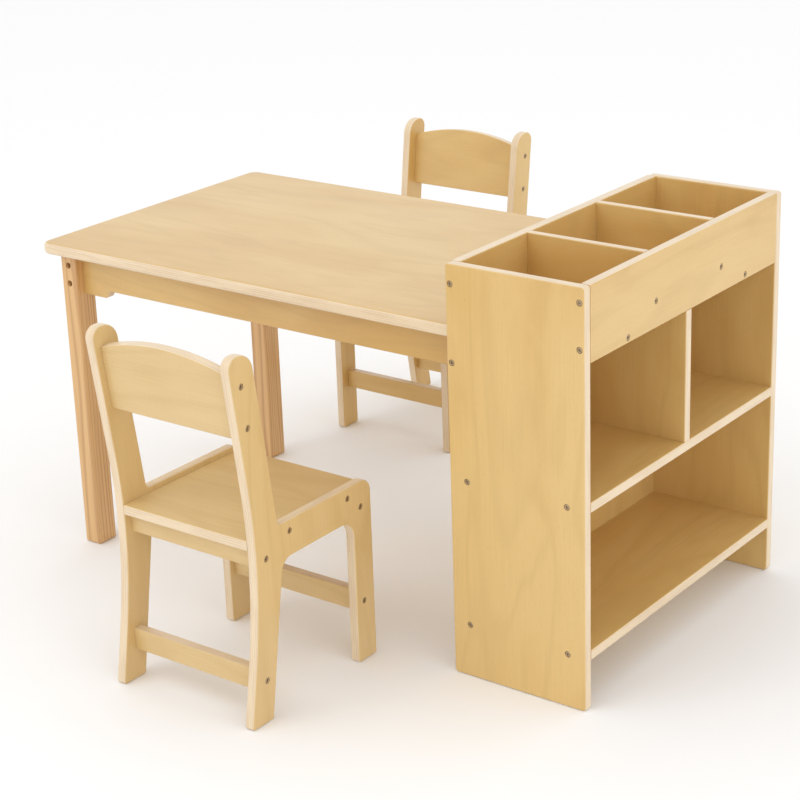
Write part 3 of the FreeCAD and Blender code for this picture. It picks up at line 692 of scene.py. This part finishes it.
def show_slab(node, body, thick_axis, soft_sides, grain, wells=(), base=ROOT):
    """A rectangular board, sized by its node's box.

    soft_sides names the sides whose edges show: 0 low v, 1 high u, 2 high v, 3 low u.
    """
    look = settings().board
    stand, u, v, thick = slab(node, thick_axis, base)
    rounds = [look.edge_round if side in soft_sides else look.butt_round for side in range(4)]
    shape = outline([(0, 0, 0), (u, 0, 0), (u, v, 0), (0, v, 0)], rounds, 1)
    show_board(node, body, stand, shape, thick, grain, wells)


def finish_node(node, material):
    """Gives a carried-over CAD node its material."""
    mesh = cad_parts[node].data
    mesh.materials.clear()
    mesh.materials.append(material)


def finish_board(node, thick_axis, grain):
    """Gives a carried-over plywood board its material."""
    stand, _, _, thick = slab(node, thick_axis, ROOT)
    finish_node(node, plywood(node, stand, thick, grain))


# ---- storage unit
def unit_screws():
    """Panel screws of the unit as (point on the face, way out), worked out from its boards."""
    look = settings().fastener
    near_low, near_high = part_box("near_side_panel")
    far_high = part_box("far_side_panel")[1]
    places = []

    def through_sides(x, z):
        places.append((Vector((x, near_low.y, z)), Vector((0, -1, 0))))
        places.append((Vector((x, far_high.y, z)), Vector((0, 1, 0))))

    for node, inset in (("tray_rear_board", look.shelf_inset),
                        ("tray_front_board", look.tray_inset)):
        low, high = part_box(node)
        for z in (high.z - inset, low.z + inset):
            through_sides((low.x + high.x) / 2, z)
    for node in ("middle_shelf", "bottom_shelf"):
        low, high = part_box(node)
        for x in (near_low.x + look.shelf_inset, near_high.x - look.shelf_inset):
            through_sides(x, (low.z + high.z) / 2)

    floor_low, floor_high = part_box("tray_floor")
    wide = far_high.y - near_low.y
    faces = ((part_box("tray_front_board")[1].x, 1), (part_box("tray_rear_board")[0].x, -1))
    rows = ((look.row_share, floor_low.z + look.row_rise),
            (look.floor_share, (floor_low.z + floor_high.z) / 2))
    for x, way in faces:
        for part, z in rows:
            for y in (near_low.y + wide * part, far_high.y - wide * part):
                places.append((Vector((x, y, z)), Vector((way, 0, 0))))
    middle = (near_low.y + far_high.y) / 2
    for x in (near_low.x + look.divider_near, near_low.x + look.divider_far):
        places.append((Vector((x, middle, floor_high.z)), Vector((0, 0, 1))))
        places.append((Vector((x, middle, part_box("middle_shelf")[0].z)), Vector((0, 0, -1))))
    return places


def screw_wells(stand, thick, places):
    """The wells that a board needs for the screws whose points lie on its two faces."""
    look = settings().fastener
    depth = look.sink + look.well_deep
    back = stand.inverted()
    turn = back.to_3x3()
    wells = []
    for point, way in places:
        u, v, w = back @ point
        for face, high_face in ((0, False), (thick, True)):
            if abs(w - face) < TOUCH and abs((turn @ way).z) > 1 - TOUCH:
                wells.append((u, v, look.well, depth, high_face))
    return wells


def slab_wells(node, thick_axis, places):
    """Wells in a rectangular board of the unit, kept to those inside its outline."""
    stand, u, v, thick = slab(node, thick_axis, ROOT)
    found = screw_wells(stand, thick, places)
    return [well for well in found if 0 < well[0] < u and 0 < well[1] < v]


def show_screws(name, body, node, places):
    """Panel screws: a slightly domed head with a hexagonal socket, and a pointed shank."""
    look = settings().fastener
    head, shank, long, deep = look.head, look.shank, look.long, look.socket_deep
    rim = look.head_thick
    socket = look.socket * head
    profile = [
        # the point and the shank
        (0.02 * shank, -long, 0), (0.35 * shank, -long + 2 * MM, 0), (shank, -long + look.point, 0),
        (shank, -rim - 0.5 * MM, 0),
        # the head's underside and rim
        (0.96 * head, -rim - 0.3 * MM, 0), (head, -rim, 0), (head, -1.10 * MM, 0),
        (0.96 * head, -0.75 * MM, 0),
        # the domed top, rolled into the socket
        (0.86 * head, -0.16 * MM, 0), (0.80 * head, 0.0, 0), (1.16 * socket, 0.02 * MM, 0),
        # the hexagonal socket
        (1.04 * socket, -0.06 * MM, 0.7), (0.98 * socket, -0.28 * MM, 1), (0.96 * socket, -deep, 1),
        (0.02 * socket, -deep - 0.3 * MM, 1),
    ]
    verts, faces = turned(profile, look.around)
    stands = [facing(point - way * look.sink, way) for point, way in places]
    spread, every = copies(verts, faces, stands)
    show(name, spread, every, body, node, metal_material("bronzed_steel"))


def show_unit_boards(*boards):
    """Makes the unit's rectangular boards from rows (node, thick axis, soft sides, grain)."""
    places = unit_screws()
    for node, axis, soft, grain in boards:
        show_slab(node, "table", axis, soft, grain, slab_wells(node, axis, places))


class CRAFT_OT_unit_sides(Operator):
    """Make the storage unit's two full-height sides, with rounded corners and screw wells"""
    bl_idname = "craft.unit_sides"
    bl_label = "Unit sides"

    def execute(self, context):
        look = settings().board
        places = unit_screws()
        for node in ("near_side_panel", "far_side_panel"):
            low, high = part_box(node)
            tall, deep, thick = high.z - low.z, high.x - low.x, high.y - low.y
            r = look.panel_corner
            corners = [(0, 0, r), (tall, 0, r), (tall, deep, r), (0, deep, r)]
            shape = outline(corners, look.edge_round, look.arc_steps)
            wells = slab_wells(node, "y", places)
            show_board(node, "table", axes_stand("y", low), shape, thick, "u", wells)
        return {"FINISHED"}


class CRAFT_OT_unit_tray(Operator):
    """Make the divided tray on top of the storage unit"""
    bl_idname = "craft.unit_tray"
    bl_label = "Tray"

    def execute(self, context):
        show_unit_boards(
            ("tray_front_board", "x", (0, 2), "u"), ("tray_rear_board", "x", (2,), "u"),
            ("tray_floor", "z", (), "v"), ("tray_partition_near", "y", (1,), "v"),
            ("tray_partition_far", "y", (1,), "v"))
        return {"FINISHED"}


class CRAFT_OT_unit_shelves(Operator):
    """Make the shelves and their divider, and finish the thin back"""
    bl_idname = "craft.unit_shelves"
    bl_label = "Shelves"

    def execute(self, context):
        show_unit_boards(("middle_shelf", "z", (1,), "v"), ("bottom_shelf", "z", (1,), "v"),
                         ("shelf_divider", "y", (2,), "u"))
        finish_board("back_panel", "x", "v")
        return {"FINISHED"}


class CRAFT_OT_unit_screws(Operator):
    """Set the panel screws of the storage unit"""
    bl_idname = "craft.unit_screws"
    bl_label = "Unit screws"

    def execute(self, context):
        show_screws("storage_panel_screws", "table", "storage_screws", unit_screws())
        return {"FINISHED"}


# ---- table
class CRAFT_OT_table_top(Operator):
    """Make the table top, with rounded outer corners and a full round on its edges"""
    bl_idname = "craft.table_top"
    bl_label = "Table top"

    def execute(self, context):
        look = settings().board
        low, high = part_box("table_top")
        long, wide, thick = high - low
        r = look.top_corner
        corners = [(0, 0, r), (long, 0, 0), (long, wide, 0), (0, wide, r)]
        rounds = [look.top_round, look.butt_round, look.top_round, look.top_round]
        shape = outline(corners, rounds, look.arc_steps)
        show_board("table_top", "table", axes_stand("z", low), shape, thick, "u")
        return {"FINISHED"}


class CRAFT_OT_table_frame(Operator):
    """Finish the legs, aprons and cleats under the table top"""
    bl_idname = "craft.table_frame"
    bl_label = "Legs and aprons"

    def execute(self, context):
        finish_board("front_apron", "y", "v")
        finish_board("rear_apron", "y", "v")
        finish_board("end_apron", "x", "u")
        upright = Matrix.Rotation(math.pi / 2, 4, "Y")
        for node, turn, seed in (("front_leg", upright, 1), ("rear_leg", upright, 2),
                                 ("top_cleats", ROOT, 3)):
            low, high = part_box(node)
            to_board = turn @ Matrix.Translation(-low)
            pine = wood_material(node + "_pine", pine_pattern, to_board, high.x - low.x, seed)
            finish_node(node, pine)
        return {"FINISHED"}


class CRAFT_OT_table_bolts(Operator):
    """Finish the leg bolts, the barrel nuts and the cleats' screws"""
    bl_idname = "craft.table_bolts"
    bl_label = "Bolts and nuts"

    def execute(self, context):
        for node, slot in (("leg_bolts", "bronzed_steel"), ("barrel_nuts", "zinc_plated_steel"),
                           ("cleat_screws", "bronzed_steel")):
            finish_node(node, metal_material(slot))
        return {"FINISHED"}


# ---- chairs
# How far each chair is turned to face the table.  Unturned, a chair's front is its low Y.
CHAIRS = {"near_chair": math.pi, "far_chair": 0.0}


def chair_stand(chair):
    """Where a chair's own axes stand: X across, Y back from its front edge, Z up."""
    low_a, high_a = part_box(f"{chair}_side_a")
    low_b, high_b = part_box(f"{chair}_side_b")
    middle = (min(low_a.x, low_b.x) + max(high_a.x, high_b.x)) / 2
    turn = CHAIRS[chair]
    front = low_a.y if turn == 0.0 else high_a.y
    return Matrix.Translation((middle, front, 0)) @ Matrix.Rotation(turn, 4, "Z")


def waist_corner():
    """Where the two straight parts of the rear edge would meet, behind their bend.

    The bend touches the waist's depth, so the corner lies bend * (1 / cos(half the turn) - 1) in
    front of it.
    """
    look = settings().chair
    half_turn = (math.atan(look.lower_sweep) + math.atan(look.post_lean)) / 2
    back = look.waist - look.bend * (1 / math.cos(half_turn) - 1)
    return back, (look.foot_end - back) / look.lower_sweep


def rear_edge(z):
    """How far back the rear edge of the post would be at a height, on its straight upper part."""
    back, up = waist_corner()
    return back + settings().chair.post_lean * (z - up)


def side_outline(tall):
    """The side of a chair in (back, up): front leg, arch, swept rear leg and leaning post."""
    look = settings().chair
    across = look.post_wide * math.sqrt(1 + look.post_lean ** 2)
    foot_start = look.foot_end - look.rear_foot
    foot = look.foot_round
    corners = [
        (0, 0, foot),
        (look.front_leg, 0, foot),
        (look.front_leg, look.arch_top, look.arch_front),
        (foot_start - look.inner_sweep * look.arch_top, look.arch_top, look.arch_rear),
        (foot_start, 0, foot),
        (look.foot_end, 0, foot),
        (*waist_corner(), look.bend),
        (rear_edge(tall), tall, look.tip_rear),
        (rear_edge(tall) - across, tall, look.tip_front),
        (rear_edge(look.side_top) - across, look.side_top, look.seat_round),
        (0, look.side_top, look.front_round),
    ]
    return outline(corners, settings().board.edge_round, settings().board.arc_steps)


def chair_screws(chair):
    """Panel screws of a chair as (point on the side, way out), worked out from its boards."""
    look = settings().chair
    base = chair_stand(chair)
    half = max(box_in(base, f"{chair}_side_{side}")[1].x for side in "ab")
    spots = []
    for bar in ("front_rail", "rear_rail", "front_stretcher", "rear_stretcher"):
        low, high = box_in(base, f"{chair}_{bar}")
        spots.append(((low.y + high.y) / 2, (low.z + high.z) / 2))
    low, high = box_in(base, f"{chair}_seat")
    for back in (look.seat_screw_front, look.seat_screw_rear):
        spots.append((back, (low.z + high.z) / 2))
    for z in (look.back_screw_low, look.back_screw_high):
        spots.append((rear_edge(z) - look.back_inset - look.board / 2, z))
    places = []
    for back, z in spots:
        for side in (-1, 1):
            way = base.to_3x3() @ Vector((side, 0, 0))
            places.append((base @ Vector((side * half, back, z)), way))
    return places


class CRAFT_OT_chair_sides(Operator):
    """Make the sides of both chairs, each one board with front leg, rear leg and post"""
    bl_idname = "craft.chair_sides"
    bl_label = "Chair sides"

    def execute(self, context):
        for chair in CHAIRS:
            base = chair_stand(chair)
            places = chair_screws(chair)
            for side in "ab":
                node = f"{chair}_side_{side}"
                low, high = box_in(base, node)
                stand = base @ axes_stand("x", Vector((low.x, 0, 0)))
                thick = high.x - low.x
                wells = screw_wells(stand, thick, places)
                show_board(node, chair, stand, side_outline(high.z), thick, "v", wells)
        return {"FINISHED"}


class CRAFT_OT_chair_seats(Operator):
    """Make the seats, rails and stretchers of both chairs"""
    bl_idname = "craft.chair_seats"
    bl_label = "Seats and rails"

    def execute(self, context):
        bars = (("seat", "z", (0, 2), "u"), ("front_rail", "y", (3,), "v"),
                ("rear_rail", "y", (3,), "v"), ("front_stretcher", "y", (1, 3), "v"),
                ("rear_stretcher", "y", (1, 3), "v"))
        for chair in CHAIRS:
            base = chair_stand(chair)
            for bar, axis, soft, grain in bars:
                show_slab(f"{chair}_{bar}", chair, axis, soft, grain, base=base)
        return {"FINISHED"}


def arch_outline(wide, tall):
    """The backrest's outline in (up, across): a rectangle whose top edge is a flat circular arc.

    An arc that rises by h over a width w has the radius (w * w / 4 + h * h) / (2 * h).
    """
    look, board = settings().chair, settings().board
    rise = look.back_rise
    v = np.linspace(0, wide, look.back_steps + 1)
    radius = (wide ** 2 / 4 + rise ** 2) / (2 * rise)
    u = tall - radius + np.sqrt(radius ** 2 - (v - wide / 2) ** 2)
    points = np.vstack([[(0, 0)], np.stack([u, v], 1), [(0, wide)]])
    rounds = np.full(len(points), board.edge_round)
    rounds[[0, -2]] = board.butt_round
    return points, rounds


class CRAFT_OT_chair_backs(Operator):
    """Make the arched backrests, which lean with the posts"""
    bl_idname = "craft.chair_backs"
    bl_label = "Backrests"

    def execute(self, context):
        look = settings().chair
        lean = math.atan(look.post_lean)
        tall = (look.back_high - look.back_low) / math.cos(lean)
        front = rear_edge(look.back_low) - look.back_inset - look.board / math.cos(lean)
        for chair in CHAIRS:
            node = f"{chair}_backrest"
            base = chair_stand(chair)
            low, high = box_in(base, node)
            corner = Matrix.Translation((low.x, front, look.back_low))
            tilt = Matrix.Rotation(-lean, 4, "X")
            stand = base @ corner @ tilt @ axes_stand("y", (0, 0, 0))
            shape = arch_outline(high.x - low.x, tall)
            show_board(node, chair, stand, shape, look.board, "v")
        return {"FINISHED"}


class CRAFT_OT_chair_screws(Operator):
    """Set the panel screws of both chairs"""
    bl_idname = "craft.chair_screws"
    bl_label = "Chair screws"

    def execute(self, context):
        for chair in CHAIRS:
            show_screws(f"{chair}_panel_screws", chair, f"{chair}_screws", chair_screws(chair))
        return {"FINISHED"}


# ---- stage
def area_light(name, look):
    """A rectangular soft light, whose settings start with its name."""
    place, target, wide, high, power = [getattr(look, f"{name}_{word}") for word in
                                        ("place", "aim", "wide", "high", "power")]
    light = bpy.data.lights.new(name, "AREA")
    light.shape = "RECTANGLE"
    light.size, light.size_y, light.energy = wide, high, power
    lamp = bpy.data.objects.new(name, light)
    lamp.location = place
    lamp.rotation_euler = (Vector(target) - Vector(place)).to_track_quat("-Z", "Y").to_euler()
    bpy.context.scene.collection.objects.link(lamp)


class CRAFT_OT_stage(Operator):
    """Set the pale floor, the soft studio light and the camera"""
    bl_idname = "craft.stage"
    bl_label = "Stage"

    def execute(self, context):
        look = settings().stage
        half = look.floor_size / 2
        corners = np.array([(-half, -half, 0), (half, -half, 0), (half, half, 0), (-half, half, 0)])
        mesh = bpy.data.meshes.new("floor")
        mesh.from_pydata((corners - (0, 0, look.floor_drop)).tolist(), [], [(0, 1, 2, 3)])
        floor = bpy.data.objects.new("floor", mesh)
        bpy.context.scene.collection.objects.link(floor)
        paint = bpy.data.materials.new("floor_paint")
        paint.use_nodes = True
        shader = paint.node_tree.nodes["Principled BSDF"]
        shader.inputs["Base Color"].default_value = rgba(look.floor_colour)
        shader.inputs["Roughness"].default_value = look.floor_rough
        mesh.materials.append(paint)

        world = bpy.data.worlds.new("room")
        world.use_nodes = True
        background = world.node_tree.nodes["Background"].inputs
        background["Color"].default_value = (1, 1, 1, 1)
        background["Strength"].default_value = look.sky
        bpy.context.scene.world = world
        area_light("key", look)
        area_light("fill", look)

        camera = bpy.data.cameras.new("camera")
        camera.sensor_width = look.sensor
        camera.lens = look.lens
        camera.shift_y = look.rise
        eye = bpy.data.objects.new("camera", camera)
        eye.location = look.camera_place
        turn = Euler((math.pi / 2 - look.tilt, 0, look.heading)).to_matrix()
        eye.rotation_euler = (turn @ Matrix.Rotation(look.roll, 3, "Z")).to_euler()
        bpy.context.scene.collection.objects.link(eye)
        bpy.context.scene.camera = eye
        bpy.context.scene.view_settings.view_transform = "Standard"
        return {"FINISHED"}


# ---- add-on
OPERATORS = (
    CRAFT_OT_stage, CRAFT_OT_table_top, CRAFT_OT_table_frame, CRAFT_OT_table_bolts,
    CRAFT_OT_unit_sides, CRAFT_OT_unit_tray, CRAFT_OT_unit_shelves, CRAFT_OT_unit_screws,
    CRAFT_OT_chair_sides, CRAFT_OT_chair_seats, CRAFT_OT_chair_backs, CRAFT_OT_chair_screws,
)


class CRAFT_PT_panel(Panel):
    """Lists the steps that make the set"""
    bl_idname = "CRAFT_PT_panel"
    bl_label = "Craft Table Set"
    bl_space_type = "VIEW_3D"
    bl_region_type = "UI"
    bl_category = "Craft Table"

    def draw(self, context):
        for operator in OPERATORS:
            self.layout.operator(operator.bl_idname)


CLASSES = (BoardSettings, ChairSettings, FastenerSettings, WoodSettings, MetalSettings,
           StageSettings, CraftTableSettings, *OPERATORS, CRAFT_PT_panel)


def register():
    """Adds the settings, the operators and the panel."""
    for item in CLASSES:
        bpy.utils.register_class(item)
    bpy.types.Scene.craft_table = PointerProperty(type=CraftTableSettings)


def unregister():
    """Takes them away again."""
    del bpy.types.Scene.craft_table
    for item in reversed(CLASSES):
        bpy.utils.unregister_class(item)


def main():
    """Registers the add-on and runs its steps, which make the whole set."""
    register()
    for operator in OPERATORS:
        group, action = operator.bl_idname.split(".")
        getattr(getattr(bpy.ops, group), action)()


if __name__ == "__main__":
    main()
